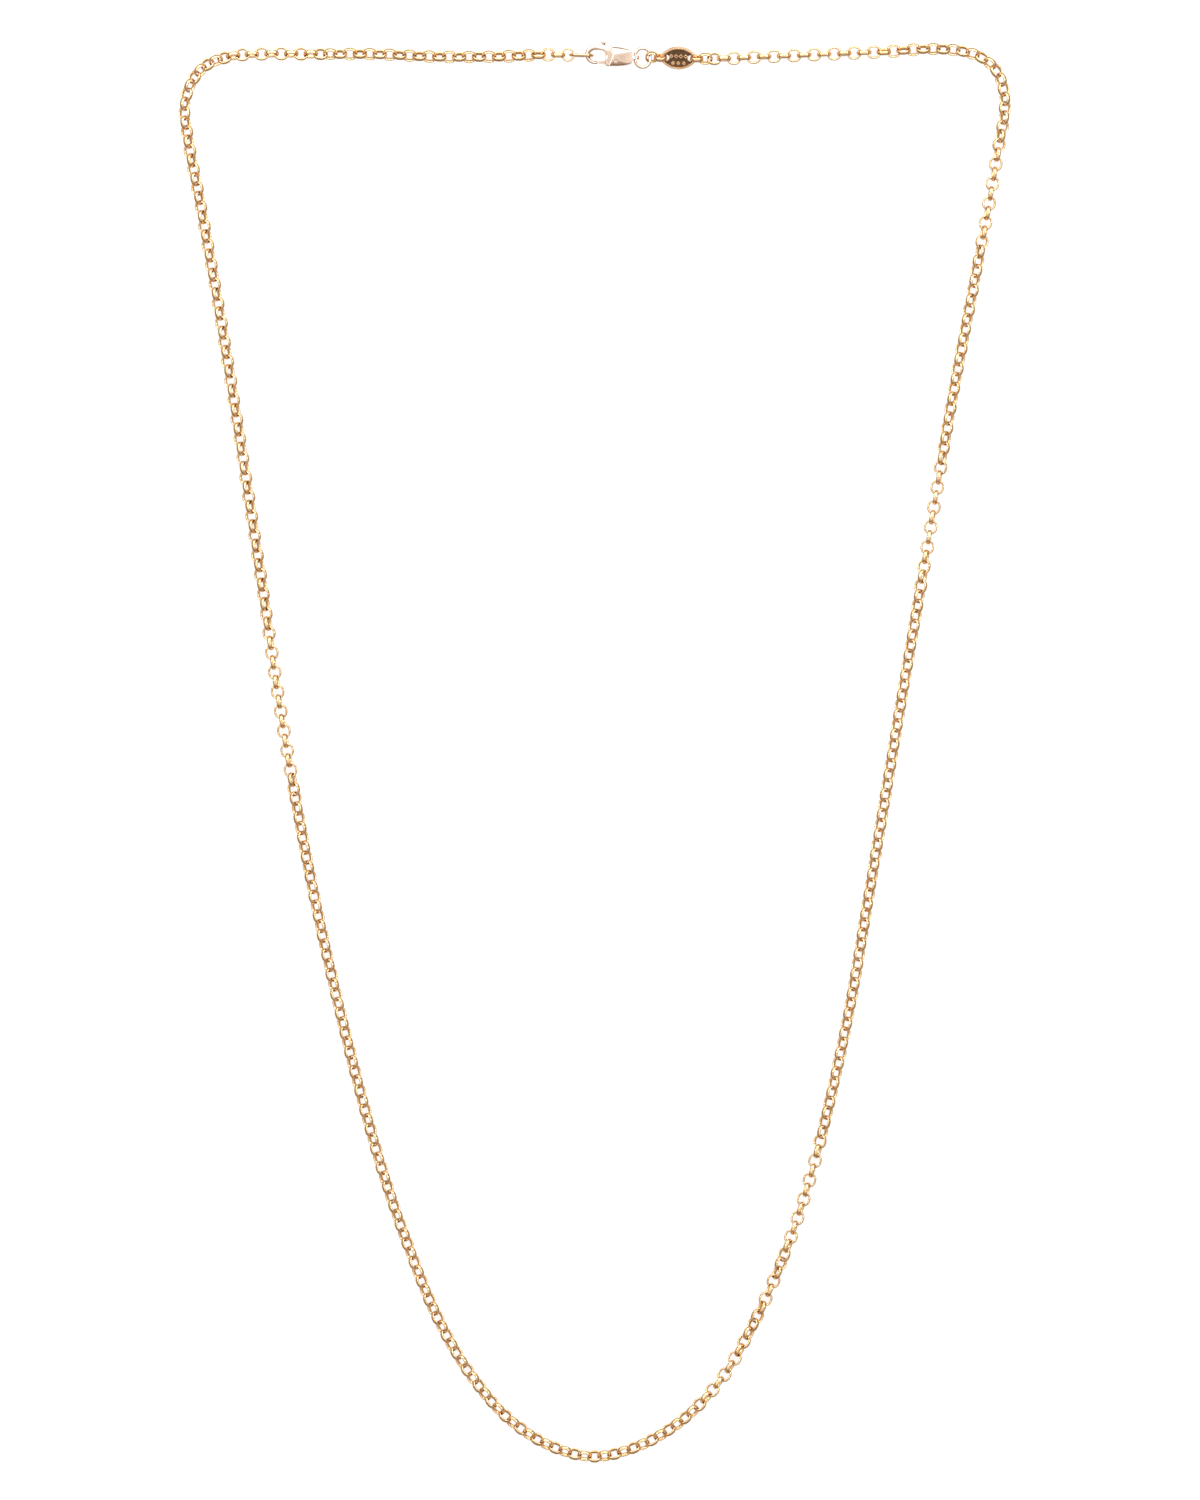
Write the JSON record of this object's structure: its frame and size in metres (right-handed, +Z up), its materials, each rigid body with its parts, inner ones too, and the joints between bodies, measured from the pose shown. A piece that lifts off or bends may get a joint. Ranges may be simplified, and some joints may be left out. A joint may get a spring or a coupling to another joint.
{
  "type": "rolo chain necklace",
  "caption": "Long necklace of small round rolo links in a closed loop, with a lobster clasp, jump rings and a pointed-oval tag, lying flat.",
  "frame": {"origin": "middle of the whole box, on the surface that the necklace lies on", "axes": "+Z up from the surface; +Y along the loop's length, from its curved bottom to the clasp's row; +X to the right as the loop is seen from above with the clasp at the top"},
  "size_m": [0.1667, 0.2845, 0.0035],
  "materials": {
    "chain_gold": "polished yellow gold, darker in the crevices",
    "clasp_gold": "highly polished, a little paler and rosier than the chain",
    "tag_gold": "satin gold with a dark antiqued field and bright raised ornament"
  },
  "bodies": {
    "necklace": {"chain_right": "chain_gold", "chain_left": "chain_gold", "chain_end_link": "chain_gold", "end_ring": "chain_gold", "clasp_body": "clasp_gold", "clasp_rivet": "clasp_gold", "clasp_ring": "clasp_gold", "clasp_link": "chain_gold", "tag_link": "chain_gold", "tag": "tag_gold", "tag_out_link": "chain_gold"},
    "lever": {"clasp_lever": "clasp_gold"}
  },
  "joints": [
    {"name": "lever_swing", "type": "hinge", "parent": "necklace", "child": "lever", "pos_m": [0.00424, 0.13796, 0.00175], "axis": [0, 0, -1], "range_deg": [0, 18], "stiffness_Nm_per_rad": 0.003, "springref_deg": -14.32}
  ]
}
